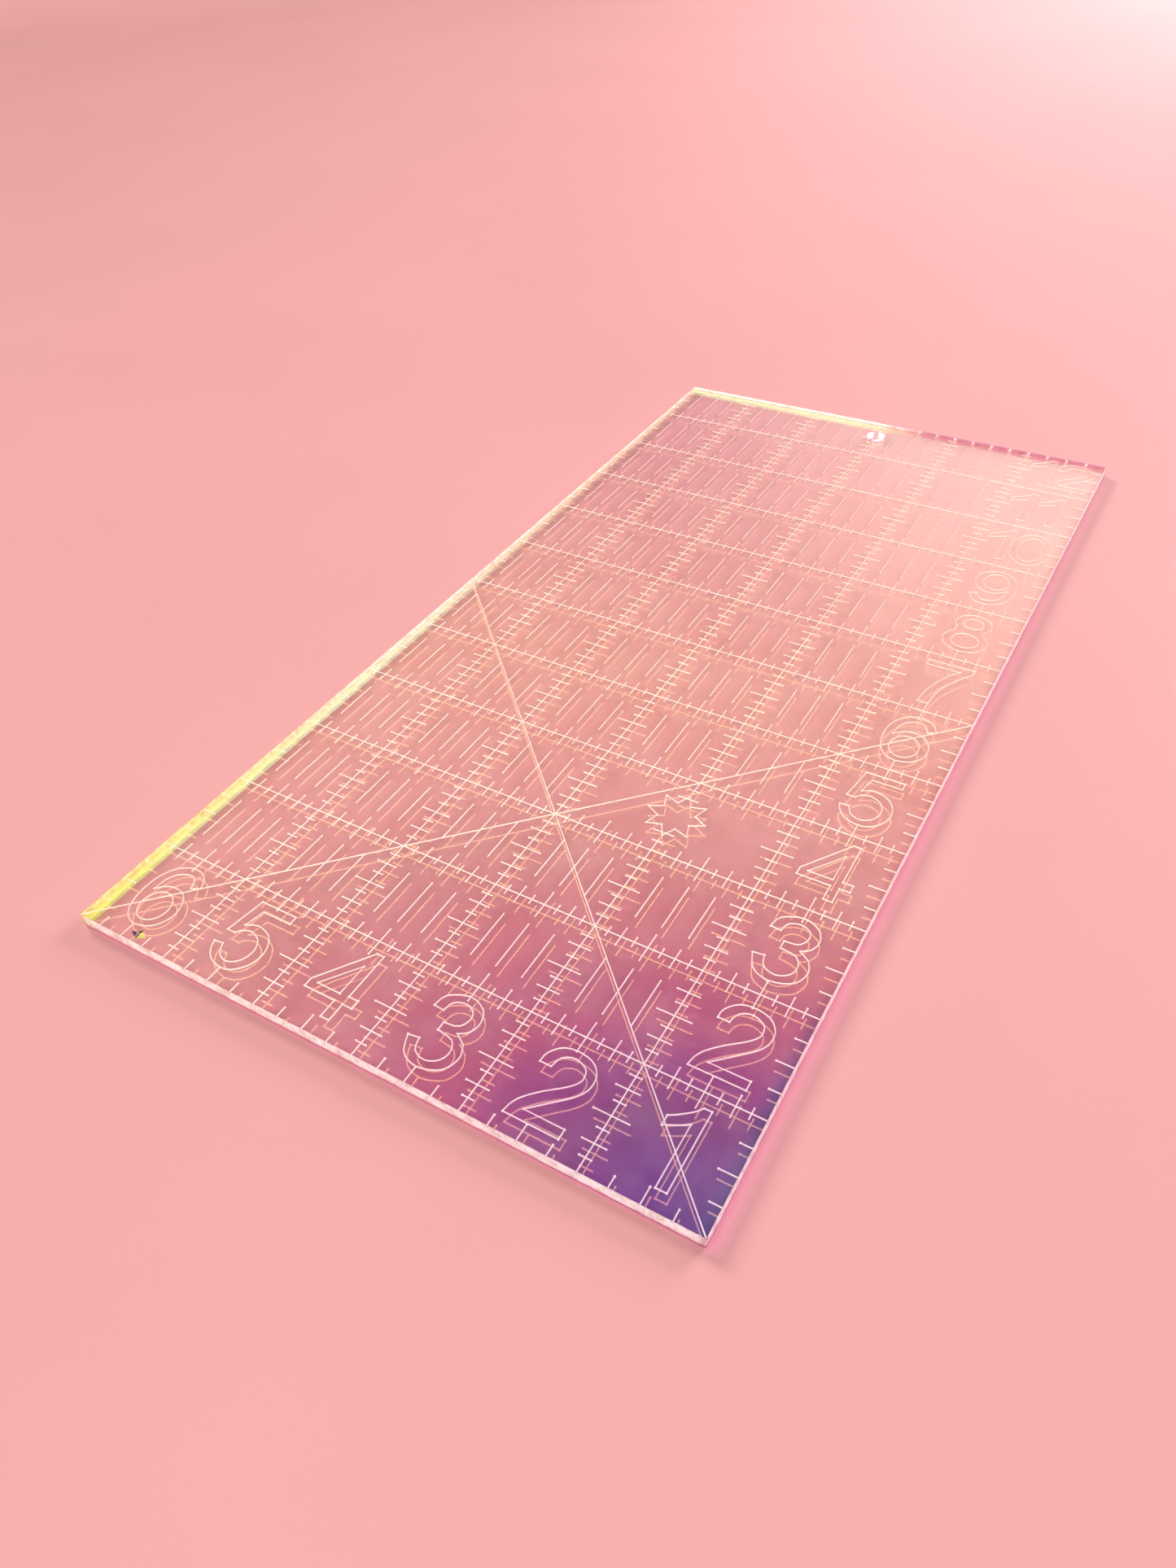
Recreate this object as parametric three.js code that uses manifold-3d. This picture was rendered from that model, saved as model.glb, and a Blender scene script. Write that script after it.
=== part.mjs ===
// Quilting ruler, 6 x 12 in: a laser-cut acrylic sheet, engraved on its top face,
// with an iridescent film bonded to its underside.
// Units mm. Origin: bottom centre. +X across the short side, +Y along the long side, +Z up.
import * as THREE from 'three';
import { mergeVertices } from 'three/addons/utils/BufferGeometryUtils.js';
import Module from 'manifold-3d';

// driving dimensions
const INCH = 25.4;
const INCHES_X = 6;            // short side, inches
const INCHES_Y = 12;           // long side, inches
const SHEET_T = 3.0;           // cast acrylic
const ADHESIVE_T = 0.05;       // laminating adhesive
const FILM_T = 0.10;           // iridescent film on its polyester carrier
const HANG_HOLE_D = 6.0;       // hang hole near the far short edge
const HANG_HOLE_INSET = 0.4;   // inches from the far short edge
const GROOVE_W = 0.3;          // engraved line width
const GROOVE_D = 0.12;         // engraved line depth
const DIAG_D = 0.18;           // the two 45 degree lines, cut deeper
const TICK_SHORT = 0.10;       // edge tick at the quarter inches, inches
const TICK_LONG = 0.15;        // edge tick at the half inches, inches
const DASH_FROM = 0.25;        // cell dashes, inches from the cell's near line
const DASH_TO = 0.75;
const STAR_R = 0.29;           // quilt-star motif, inches
const STAR_AT = [4.0, 3.5];    // its centre, inches from the left and near edges

const W = INCHES_X * INCH, L = INCHES_Y * INCH;
const Z_FILM = 0, Z_ADH = FILM_T, Z_SHEET = FILM_T + ADHESIVE_T, Z_TOP = Z_SHEET + SHEET_T;
const px = (x) => (x - INCHES_X / 2) * INCH;
const py = (y) => (y - INCHES_Y / 2) * INCH;

const wasm = await Module();
wasm.setup();

function toManifold(geometry) {
  let g = geometry.clone();
  g.deleteAttribute('normal');
  g.deleteAttribute('uv');
  g = mergeVertices(g, 1e-5);
  if (!g.index) g.setIndex([...Array(g.attributes.position.count).keys()]);
  const a = g.attributes.position.array;
  for (let i = 0; i < a.length; i++) a[i] = Math.round(a[i] * 1e4) / 1e4;
  return new wasm.Manifold(new wasm.Mesh({
    numProp: 3,
    vertProperties: new Float32Array(g.attributes.position.array),
    triVerts: new Uint32Array(g.index.array),
  }));
}

function toGeometry(manifold) {
  const m = manifold.getMesh();
  const g = new THREE.BufferGeometry();
  const p = new Float32Array(m.numVert * 3);
  for (let i = 0; i < m.numVert; i++)
    for (let k = 0; k < 3; k++) p[3 * i + k] = m.vertProperties[i * m.numProp + k];
  g.setAttribute('position', new THREE.BufferAttribute(p, 3));
  g.setIndex(new THREE.BufferAttribute(new Uint32Array(m.triVerts), 1));
  const flat = g.toNonIndexed();
  flat.computeVertexNormals();
  return flat;
}

function slab(z0, t) {
  const g = new THREE.BoxGeometry(W, L, t);
  g.translate(0, 0, z0 + t / 2);
  return toManifold(g);
}

const holeTool = (() => {
  const g = new THREE.CylinderGeometry(HANG_HOLE_D / 2, HANG_HOLE_D / 2, 10, 40);
  g.rotateX(Math.PI / 2);
  g.translate(px(INCHES_X / 2), py(INCHES_Y - HANG_HOLE_INSET), 2);
  return toManifold(g);
})();

// a straight groove tool between two points, inches, run on by GROOVE_W / 2 at each end
function groove(x0, y0, x1, y1, depth = GROOVE_D) {
  const dx = (x1 - x0) * INCH, dy = (y1 - y0) * INCH;
  const g = new THREE.BoxGeometry(Math.hypot(dx, dy) + GROOVE_W, GROOVE_W, 2 * depth);
  g.rotateZ(Math.atan2(dy, dx));
  g.translate((px(x0) + px(x1)) / 2, (py(y0) + py(y1)) / 2, Z_TOP);
  return toManifold(g);
}

// numeral outlines, inches within a one-inch cell
const arc = (cx, cy, rx, ry, a0, a1, n) => {
  const out = [];
  for (let i = 0; i <= n; i++) {
    const a = (a0 + (a1 - a0) * i / n) * Math.PI / 180;
    out.push([cx + rx * Math.cos(a), cy + ry * Math.sin(a)]);
  }
  return out;
};
const ring = (cx, cy, rx, ry, n) => arc(cx, cy, rx, ry, 0, 360, n).slice(0, n);
const bend = (pts, n) => new THREE.SplineCurve(pts.map(([x, y]) => new THREE.Vector2(x, y)))
  .getPoints(n).map((v) => [v.x, v.y]);
const six = [
  [
    ...bend([[0.724, 0.725], [0.655, 0.842], [0.528, 0.882], [0.388, 0.832], [0.296, 0.70], [0.2656, 0.516],
      [0.296, 0.325], [0.38, 0.198], [0.5035, 0.154], [0.640, 0.196], [0.716, 0.285], [0.7415, 0.387],
      [0.718, 0.498], [0.648, 0.592], [0.536, 0.628], [0.430, 0.601], [0.351, 0.529]], 20),
    ...bend([[0.362, 0.65], [0.421, 0.755], [0.536, 0.805], [0.606, 0.767], [0.645, 0.685]], 6),
  ],
  ring(0.51, 0.387, 0.143, 0.164, 12),
];
const GLYPH = {
  0: [ring(0.505, 0.519, 0.236, 0.363, 18), ring(0.505, 0.519, 0.146, 0.277, 14)],
  1: [[[0.6225, 0.877], [0.6225, 0.161], [0.533, 0.161], [0.533, 0.7135],
    ...bend([[0.50, 0.69], [0.435, 0.655], [0.349, 0.612]], 3), [0.349, 0.70],
    ...bend([[0.40, 0.731], [0.463, 0.778], [0.515, 0.822], [0.558, 0.877]], 4)]],
  2: [[
    ...bend([[0.299, 0.649], [0.308, 0.735], [0.391, 0.832], [0.521, 0.861], [0.660, 0.829], [0.735, 0.748],
      [0.754, 0.668], [0.740, 0.585], [0.680, 0.495], [0.560, 0.382], [0.411, 0.242]], 13),
    [0.7605, 0.242], [0.7605, 0.155], [0.283, 0.155],
    ...bend([[0.297, 0.232], [0.337, 0.312], [0.443, 0.425], [0.588, 0.545], [0.652, 0.620], [0.666, 0.675],
      [0.640, 0.750], [0.529, 0.794], [0.429, 0.749], [0.397, 0.649]], 11),
  ]],
  3: [[
    ...bend([[0.287, 0.69], [0.324, 0.812], [0.497, 0.894], [0.655, 0.835], [0.710, 0.715], [0.682, 0.608],
      [0.607, 0.552]], 7),
    ...bend([[0.703, 0.490], [0.748, 0.372], [0.687, 0.225], [0.505, 0.159], [0.345, 0.213], [0.268, 0.368]], 8),
    ...bend([[0.368, 0.382], [0.405, 0.275], [0.520, 0.235], [0.622, 0.288], [0.653, 0.385], [0.600, 0.483],
      [0.450, 0.511]], 7),
    ...bend([[0.450, 0.592], [0.572, 0.611], [0.622, 0.705], [0.590, 0.788], [0.498, 0.817], [0.408, 0.775],
      [0.382, 0.684]], 7),
  ]],
  4: [[[0.566, 0.886], [0.636, 0.886], [0.636, 0.427], [0.7315, 0.427], [0.7315, 0.344], [0.638, 0.344],
    [0.638, 0.171], [0.5555, 0.171], [0.5555, 0.344], [0.2445, 0.344], [0.2445, 0.428]],
  [[0.551, 0.728], [0.551, 0.418], [0.322, 0.418]]],
  5: [[
    [0.3235, 0.870], [0.701, 0.870], [0.701, 0.786], [0.412, 0.786], [0.3685, 0.599],
    ...bend([[0.430, 0.632], [0.508, 0.644], [0.630, 0.600], [0.702, 0.505], [0.725, 0.395], [0.694, 0.280],
      [0.610, 0.185], [0.50, 0.154], [0.365, 0.190], [0.285, 0.270], [0.254, 0.349]], 12),
    ...bend([[0.3395, 0.358], [0.392, 0.262], [0.492, 0.226], [0.588, 0.276], [0.632, 0.395], [0.590, 0.513],
      [0.484, 0.567], [0.395, 0.545], [0.3476, 0.4935]], 9),
    [0.267, 0.4935],
  ]],
  6: six,
  7: [[[0.287, 0.874], [0.766, 0.874], [0.766, 0.80],
    ...bend([[0.680, 0.690], [0.577, 0.500], [0.520, 0.325], [0.502, 0.135]], 5),
    ...bend([[0.394, 0.145], [0.415, 0.330], [0.480, 0.530], [0.560, 0.690], [0.640, 0.788]], 5),
    [0.287, 0.788]]],
  8: [[
    ...arc(0.512, 0.712, 0.194, 0.17, -38, 218, 9),
    ...arc(0.512, 0.364, 0.235, 0.21, 132, 408, 11),
  ], ring(0.512, 0.706, 0.109, 0.096, 10), ring(0.512, 0.367, 0.145, 0.133, 12)],
  9: six.map((loop) => loop.map(([x, y]) => [1.007 - x, 1.036 - y])),
};

// offset a closed loop of points by d (inches), mitred
function offset(loop, d) {
  const n = loop.length, out = [];
  for (let i = 0; i < n; i++) {
    const a = loop[(i + n - 1) % n], b = loop[i], c = loop[(i + 1) % n];
    let ux = b[0] - a[0], uy = b[1] - a[1], vx = c[0] - b[0], vy = c[1] - b[1];
    const lu = Math.hypot(ux, uy), lv = Math.hypot(vx, vy);
    ux /= lu; uy /= lu; vx /= lv; vy /= lv;
    const nx = uy + vy, ny = -(ux + vx);
    const s = Math.min(2.2, 2 / Math.max(0.2, nx * nx + ny * ny));
    out.push([b[0] + nx * s * d, b[1] + ny * s * d]);
  }
  return out;
}
function area(loop) {
  let s = 0;
  for (let i = 0; i < loop.length; i++) {
    const [x0, y0] = loop[i], [x1, y1] = loop[(i + 1) % loop.length];
    s += x0 * y1 - x1 * y0;
  }
  return s / 2;
}
// a groove tool that follows a closed loop
function loopGroove(loop, ox, oy) {
  const ccw = area(loop) > 0 ? loop : [...loop].reverse();
  const h = GROOVE_W / 2 / INCH;
  const v = (p) => p.map(([x, y]) => new THREE.Vector2(px(x + ox), py(y + oy)));
  const shape = new THREE.Shape(v(offset(ccw, h)));
  shape.holes.push(new THREE.Path(v(offset(ccw, -h)).reverse()));
  const g = new THREE.ExtrudeGeometry(shape, { depth: 2 * GROOVE_D, bevelEnabled: false, steps: 1 });
  g.translate(0, 0, Z_TOP - GROOVE_D);
  return toManifold(g);
}

const tools = [];
// inch lines
for (let x = 1; x < INCHES_X; x++) {
  if (x === STAR_AT[0]) {
    tools.push(groove(x, -0.1, x, 3.17), groove(x, 3.83, x, INCHES_Y + 0.1));
  } else tools.push(groove(x, -0.1, x, INCHES_Y + 0.1));
}
for (let y = 1; y < INCHES_Y; y++) tools.push(groove(-0.1, y, INCHES_X + 0.1, y));
// 45 degree lines
tools.push(groove(-0.1, -0.1, 6, 6, DIAG_D), groove(INCHES_X + 0.1, -0.1, 0, 6, DIAG_D));
// ticks along the four edges
for (let q = 1; q < INCHES_X * 4; q++) {
  if (q % 4 === 0) continue;
  const t = q % 2 ? TICK_SHORT : TICK_LONG;
  tools.push(groove(q / 4, -0.05, q / 4, t), groove(q / 4, INCHES_Y + 0.05, q / 4, INCHES_Y - t));
}
for (let q = 1; q < INCHES_Y * 4; q++) {
  if (q % 4 === 0) continue;
  const t = q % 2 ? TICK_SHORT : TICK_LONG;
  tools.push(groove(-0.05, q / 4, t, q / 4), groove(INCHES_X + 0.05, q / 4, INCHES_X - t, q / 4));
}
// quarter-inch dashes in the plain cells
for (let cx = 0; cx < INCHES_X - 1; cx++) {
  for (let cy = 1; cy < INCHES_Y; cy++) {
    if (cy === 3 && (cx === 3 || cx === 4)) continue;
    for (const q of [0.25, 0.5, 0.75]) tools.push(groove(cx + q, cy + DASH_FROM, cx + q, cy + DASH_TO));
  }
}
// numerals: one row along the near edge, one column up the right edge
for (let n = 1; n <= INCHES_X; n++)
  for (const loop of GLYPH[n]) tools.push(loopGroove(loop, INCHES_X - n, 0));
for (let n = 2; n <= INCHES_Y; n++) {
  if (n < 10) {
    for (const loop of GLYPH[n]) tools.push(loopGroove(loop, INCHES_X - 1, n - 1));
  } else {
    for (const loop of GLYPH[1]) tools.push(loopGroove(loop, INCHES_X - 1 - 0.215, n - 1));
    const dx = n === 11 ? 0.125 : 0.155;
    for (const loop of GLYPH[n - 10]) tools.push(loopGroove(loop, INCHES_X - 1 + dx, n - 1));
  }
}
// eight-pointed quilt star
const star = [];
for (let i = 0; i < 16; i++) {
  const a = (i * 22.5 + 90) * Math.PI / 180, r = i % 2 ? STAR_R * 0.6 : STAR_R;
  star.push([STAR_AT[0] + r * Math.cos(a), STAR_AT[1] + r * Math.sin(a)]);
}
tools.push(loopGroove(star, 0, 0));

const cutter = wasm.Manifold.union(tools);
const sheet = slab(Z_SHEET, SHEET_T).subtract(holeTool).subtract(cutter);
const adhesive = slab(Z_ADH, ADHESIVE_T).subtract(holeTool);
const film = slab(Z_FILM, FILM_T).subtract(holeTool);

const group = new THREE.Group();
group.name = 'quilting_ruler';
function add(name, manifold, material) {
  const mesh = new THREE.Mesh(toGeometry(manifold), new THREE.MeshStandardMaterial(material));
  mesh.name = name;
  group.add(mesh);
}
add('acrylic_sheet', sheet, { color: 0xf4dfe2, roughness: 0.08, metalness: 0 });
add('adhesive_layer', adhesive, { color: 0xf2e9dc, roughness: 0.3, metalness: 0 });
add('iridescent_film', film, { color: 0xd77f96, roughness: 0.12, metalness: 0.35 });

export default group;
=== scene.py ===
import math
import random

import bmesh
import bpy
from mathutils import Matrix, Vector
from mathutils.geometry import delaunay_2d_cdt


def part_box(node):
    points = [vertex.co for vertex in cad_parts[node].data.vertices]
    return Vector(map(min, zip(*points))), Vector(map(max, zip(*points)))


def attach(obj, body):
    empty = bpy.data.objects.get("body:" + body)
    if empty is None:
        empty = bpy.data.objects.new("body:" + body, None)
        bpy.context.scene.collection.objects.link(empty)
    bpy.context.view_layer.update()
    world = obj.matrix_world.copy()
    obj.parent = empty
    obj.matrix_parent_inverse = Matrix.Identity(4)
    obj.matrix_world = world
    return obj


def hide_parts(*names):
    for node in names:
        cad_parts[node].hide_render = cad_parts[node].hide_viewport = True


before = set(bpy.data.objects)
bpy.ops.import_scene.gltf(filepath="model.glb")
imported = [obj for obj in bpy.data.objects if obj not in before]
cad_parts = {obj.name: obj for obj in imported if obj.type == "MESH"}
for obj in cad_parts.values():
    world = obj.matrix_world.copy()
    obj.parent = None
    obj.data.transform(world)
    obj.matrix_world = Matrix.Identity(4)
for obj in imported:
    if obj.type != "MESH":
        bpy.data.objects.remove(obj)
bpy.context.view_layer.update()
rng = random.Random(7)

# ------------------------------------------------------------------ dimensions
MM = 0.001
INCH = 25.4                     # mm
lo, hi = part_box("acrylic_sheet")
W = (hi[0] - lo[0]) * 1000      # mm, short side
L = (hi[1] - lo[1]) * 1000      # mm, long side
Z_TOP = hi[2] * 1000
Z_BOTTOM = lo[2] * 1000 + 0.006
film_lo, film_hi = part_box("iridescent_film")
adh_lo, adh_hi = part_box("adhesive_layer")
NX, NY = 6, 12
LINE_W = 0.27                   # engraved line width, mm
LINE_D = 0.11                   # engraved line depth, mm
CHAMFER = 0.10                  # softened cut edges, mm
CORNER = 0.45                   # softened corners, mm
HOLE = (3.0, 11.6, 3.0)         # hang hole: x, y in inches, radius in mm


def px(x):
    return (x - NX / 2) * INCH


def py(y):
    return (y - NY / 2) * INCH


# ------------------------------------------------------------------ outlines
def outline(inset, r=CORNER, n=5):
    """Rounded rectangle, counter-clockwise, mm."""
    r = max(r - inset, 0.05)
    a, b = W / 2 - inset - r, L / 2 - inset - r
    out = []
    for cx, cy, s in ((a, b, 0), (-a, b, 90), (-a, -b, 180), (a, -b, 270)):
        for i in range(n + 1):
            t = math.radians(s + 90 * i / n)
            out.append((cx + r * math.cos(t), cy + r * math.sin(t)))
    return out


def hole_ring(grow, n=56):
    cx, cy, r = px(HOLE[0]), py(HOLE[1]), HOLE[2] + grow
    return [(cx + r * math.cos(2 * math.pi * i / n), cy + r * math.sin(2 * math.pi * i / n)) for i in range(n)]


def spline(points, n):
    """n steps of a Catmull-Rom curve through the points."""
    out, last = [], len(points) - 1
    for k in range(n + 1):
        p = last * k / n
        i = min(int(p), last - 1)
        w = p - i
        p0 = points[max(i - 1, 0)]
        p1, p2 = points[i], points[i + 1]
        p3 = points[min(i + 2, last)]
        q = []
        for a, b, c, d in zip(p0, p1, p2, p3):
            v0, v1 = (c - a) * 0.5, (d - b) * 0.5
            q.append((2 * b - 2 * c + v0 + v1) * w ** 3 + (-3 * b + 3 * c - 2 * v0 - v1) * w * w + v0 * w + b)
        out.append(tuple(q))
    return out


def arc(cx, cy, rx, ry, a0, a1, n):
    return [(cx + rx * math.cos(math.radians(a0 + (a1 - a0) * i / n)),
             cy + ry * math.sin(math.radians(a0 + (a1 - a0) * i / n))) for i in range(n + 1)]


def ring(cx, cy, rx, ry, n):
    return arc(cx, cy, rx, ry, 0, 360, n)[:n]


six = [
    spline([(0.724, 0.725), (0.655, 0.842), (0.528, 0.882), (0.388, 0.832), (0.296, 0.70), (0.2656, 0.516),
            (0.296, 0.325), (0.38, 0.198), (0.5035, 0.154), (0.640, 0.196), (0.716, 0.285), (0.7415, 0.387),
            (0.718, 0.498), (0.648, 0.592), (0.536, 0.628), (0.430, 0.601), (0.351, 0.529)], 40)
    + spline([(0.362, 0.65), (0.421, 0.755), (0.536, 0.805), (0.606, 0.767), (0.645, 0.685)], 12),
    ring(0.51, 0.387, 0.143, 0.164, 28),
]
GLYPH = {
    0: [ring(0.505, 0.519, 0.236, 0.363, 44), ring(0.505, 0.519, 0.146, 0.277, 36)],
    1: [[(0.6225, 0.877), (0.6225, 0.161), (0.533, 0.161), (0.533, 0.7135)]
        + spline([(0.50, 0.69), (0.435, 0.655), (0.349, 0.612)], 6) + [(0.349, 0.70)]
        + spline([(0.40, 0.731), (0.463, 0.778), (0.515, 0.822), (0.558, 0.877)], 8)],
    2: [spline([(0.299, 0.649), (0.308, 0.735), (0.391, 0.832), (0.521, 0.861), (0.660, 0.829), (0.735, 0.748),
                (0.754, 0.668), (0.740, 0.585), (0.680, 0.495), (0.560, 0.382), (0.411, 0.242)], 28)
        + [(0.7605, 0.242), (0.7605, 0.155), (0.283, 0.155)]
        + spline([(0.297, 0.232), (0.337, 0.312), (0.443, 0.425), (0.588, 0.545), (0.652, 0.620), (0.666, 0.675),
                  (0.640, 0.750), (0.529, 0.794), (0.429, 0.749), (0.397, 0.649)], 26)],
    3: [spline([(0.287, 0.69), (0.324, 0.812), (0.497, 0.894), (0.655, 0.835), (0.710, 0.715), (0.682, 0.608),
                (0.607, 0.552)], 18)
        + spline([(0.703, 0.490), (0.748, 0.372), (0.687, 0.225), (0.505, 0.159), (0.345, 0.213), (0.268, 0.368)], 18)
        + spline([(0.368, 0.382), (0.405, 0.275), (0.520, 0.235), (0.622, 0.288), (0.653, 0.385), (0.600, 0.483),
                  (0.450, 0.511)], 18)
        + spline([(0.450, 0.592), (0.572, 0.611), (0.622, 0.705), (0.590, 0.788), (0.498, 0.817), (0.408, 0.775),
                  (0.382, 0.684)], 16)],
    4: [[(0.566, 0.886), (0.636, 0.886), (0.636, 0.427), (0.7315, 0.427), (0.7315, 0.344), (0.638, 0.344),
         (0.638, 0.171), (0.5555, 0.171), (0.5555, 0.344), (0.2445, 0.344), (0.2445, 0.428)],
        [(0.551, 0.728), (0.551, 0.418), (0.322, 0.418)]],
    5: [[(0.3235, 0.870), (0.701, 0.870), (0.701, 0.786), (0.412, 0.786), (0.3685, 0.599)]
        + spline([(0.430, 0.632), (0.508, 0.644), (0.630, 0.600), (0.702, 0.505), (0.725, 0.395), (0.694, 0.280),
                  (0.610, 0.185), (0.50, 0.154), (0.365, 0.190), (0.285, 0.270), (0.254, 0.349)], 26)
        + spline([(0.3395, 0.358), (0.392, 0.262), (0.492, 0.226), (0.588, 0.276), (0.632, 0.395), (0.590, 0.513),
                  (0.484, 0.567), (0.395, 0.545), (0.3476, 0.4935)], 20) + [(0.267, 0.4935)]],
    6: six,
    7: [[(0.287, 0.874), (0.766, 0.874), (0.766, 0.80)]
        + spline([(0.680, 0.690), (0.577, 0.500), (0.520, 0.325), (0.502, 0.135)], 10)
        + spline([(0.394, 0.145), (0.415, 0.330), (0.480, 0.530), (0.560, 0.690), (0.640, 0.788)], 10)
        + [(0.287, 0.788)]],
    8: [arc(0.512, 0.712, 0.194, 0.17, -38, 218, 22) + arc(0.512, 0.364, 0.235, 0.21, 132, 408, 26),
        ring(0.512, 0.706, 0.109, 0.096, 22), ring(0.512, 0.367, 0.145, 0.133, 26)],
    9: [[(1.007 - x, 1.036 - y) for x, y in loop] for loop in six],
}


# ------------------------------------------------------------------ engraving polygons, mm
polys = []


def area(p):
    return sum(a[0] * b[1] - b[0] * a[1] for a, b in zip(p, p[1:] + p[:1])) / 2


def add_poly(p):
    polys.append(p if area(p) > 0 else p[::-1])


def stroke(x0, y0, x1, y1, w=LINE_W, dots=(0.0, 0.0)):
    """A straight cut between two points in inches, with a dwell dot of the given radius (mm) at each end."""
    a, b = Vector((px(x0), py(y0))), Vector((px(x1), py(y1)))
    d = (b - a).normalized()
    n = Vector((-d.y, d.x)) * (w / 2)
    e = d * (w * 0.3)
    add_poly([tuple(a - e + n), tuple(a - e - n), tuple(b + e - n), tuple(b + e + n)])
    for c, r in ((a, dots[0]), (b, dots[1])):
        if r > 0:
            r *= rng.uniform(0.86, 1.16)
            t0 = rng.uniform(0, 1)
            add_poly([(c.x + r * math.cos(t0 + k * math.tau / 7), c.y + r * math.sin(t0 + k * math.tau / 7))
                      for k in range(7)])


def offset(loop, d):
    n, out = len(loop), []
    for i in range(n):
        a, b, c = loop[i - 1], loop[i], loop[(i + 1) % n]
        u = Vector((b[0] - a[0], b[1] - a[1])).normalized()
        v = Vector((c[0] - b[0], c[1] - b[1])).normalized()
        m = Vector((u.y + v.y, -(u.x + v.x)))
        s = min(2.2, 2 / max(0.2, m.length_squared))
        out.append((b[0] + m.x * s * d, b[1] + m.y * s * d))
    return out


def loop_cut(loop, ox=0.0, oy=0.0, w=LINE_W):
    """A cut that follows a closed loop, in inches. Its sharp corners get dwell dots."""
    p = loop if area(loop) > 0 else loop[::-1]
    h = w / 2 / INCH
    outer, inner = offset(p, h), offset(p, -h)
    for i in range(len(p)):
        j = (i + 1) % len(p)
        quad = [outer[i], outer[j], inner[j], inner[i]]
        add_poly([(px(x + ox), py(y + oy)) for x, y in quad])
    for i in range(len(p)):
        a, b, c = p[i - 1], p[i], p[(i + 1) % len(p)]
        u = Vector((b[0] - a[0], b[1] - a[1])).normalized()
        v = Vector((c[0] - b[0], c[1] - b[1])).normalized()
        if u.dot(v) < 0.72:
            r, t0 = 0.24 * rng.uniform(0.9, 1.15), rng.uniform(0, 1)
            add_poly([(px(b[0] + ox) + r * math.cos(t0 + k * math.tau / 8),
                       py(b[1] + oy) + r * math.sin(t0 + k * math.tau / 8)) for k in range(8)])


# inch lines; the fourth one from the left is broken for the star
for x in range(1, NX):
    if x == 4:
        stroke(x, -0.03, x, 3.17, dots=(0, 0.2))
        stroke(x, 3.83, x, NY + 0.03, dots=(0.2, 0))
    else:
        stroke(x, -0.03, x, NY + 0.03)
for y in range(1, NY):
    stroke(-0.03, y, NX + 0.03, y)
# 45 degree lines
stroke(-0.03, -0.03, 6.03, 6.03)
stroke(6.03, -0.03, -0.03, 6.03)
# cross ticks on the inch lines
REACH = {1: 0.05, 2: 0.10, 3: 0.05, 4: 0.15, 5: 0.05, 6: 0.10, 7: 0.05}
for x in range(1, NX):
    for y in range(NY):
        for e, r in REACH.items():
            if x == 4 and y == 3 and 3 <= e <= 5:
                continue
            stroke(x - r, y + e / 8, x + r, y + e / 8, dots=(0.24, 0.18))
for y in range(1, NY):
    for x in range(NX):
        for e, r in REACH.items():
            stroke(x + e / 8, y + r, x + e / 8, y - r, dots=(0.22, 0.18))
# quarter-inch ticks along the edges
for q in range(1, NX * 4):
    if q % 4:
        t = 0.15 if q % 2 == 0 else 0.10
        stroke(q / 4, -0.02, q / 4, t, dots=(0, 0.24))
        stroke(q / 4, NY + 0.02, q / 4, NY - t, dots=(0, 0.24))
for q in range(1, NY * 4):
    if q % 4:
        t = 0.15 if q % 2 == 0 else 0.10
        stroke(-0.02, q / 4, t, q / 4, dots=(0, 0.24))
        stroke(NX + 0.02, q / 4, NX - t, q / 4, dots=(0, 0.24))
# dashes in the plain cells
for cx in range(NX - 1):
    for cy in range(1, NY):
        if cy == 3 and cx in (3, 4):
            continue
        for q in (0.25, 0.5, 0.75):
            stroke(cx + q, cy + 0.75, cx + q, cy + 0.25, dots=(0.19, 0.19))
# numerals
for n in range(1, NX + 1):
    for loop in GLYPH[n]:
        loop_cut(loop, NX - n, 0)
for n in range(2, NY + 1):
    if n < 10:
        for loop in GLYPH[n]:
            loop_cut(loop, NX - 1, n - 1)
    else:
        for loop in GLYPH[1]:
            loop_cut(loop, NX - 1 - 0.215, n - 1)
        for loop in GLYPH[n - 10]:
            loop_cut(loop, NX - 1 + (0.125 if n == 11 else 0.155), n - 1)
# eight-pointed quilt star
star = []
for i in range(16):
    t, r = math.radians(i * 22.5 + 90), (0.29 * 0.6 if i % 2 else 0.29)
    star.append((4.0 + r * math.cos(t), 3.5 + r * math.sin(t)))
loop_cut(star)


# ------------------------------------------------------------------ materials
def nodes_of(name):
    m = bpy.data.materials.new(name)
    m.use_nodes = True
    nt = m.node_tree
    nt.nodes.clear()
    out = nt.nodes.new("ShaderNodeOutputMaterial")
    return m, nt, out


def node(nt, kind, **values):
    n = nt.nodes.new(kind)
    for k, v in values.items():
        setattr(n, k, v)
    return n


def maths(nt, op, a, b=None, clamp=False):
    n = node(nt, "ShaderNodeMath", operation=op, use_clamp=clamp)
    for i, v in enumerate((a, b)):
        if v is None:
            continue
        if isinstance(v, (int, float)):
            n.inputs[i].default_value = v
        else:
            nt.links.new(v, n.inputs[i])
    return n.outputs[0]


def ramp(nt, fac, stops, mode="LINEAR"):
    r = node(nt, "ShaderNodeValToRGB")
    r.color_ramp.interpolation = mode
    e = r.color_ramp.elements
    while len(e) > 1:
        e.remove(e[0])
    e[0].position, e[0].color = stops[0][0], (*stops[0][1], 1)
    for pos, col in stops[1:]:
        k = e.new(pos)
        k.color = (*col, 1)
    nt.links.new(fac, r.inputs["Fac"])
    return r.outputs["Color"]


def object_xyz(nt):
    tc = node(nt, "ShaderNodeTexCoord")
    sep = node(nt, "ShaderNodeSeparateXYZ")
    nt.links.new(tc.outputs["Object"], sep.inputs[0])
    return tc.outputs["Object"], sep.outputs[0], sep.outputs[1], sep.outputs[2]


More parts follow.
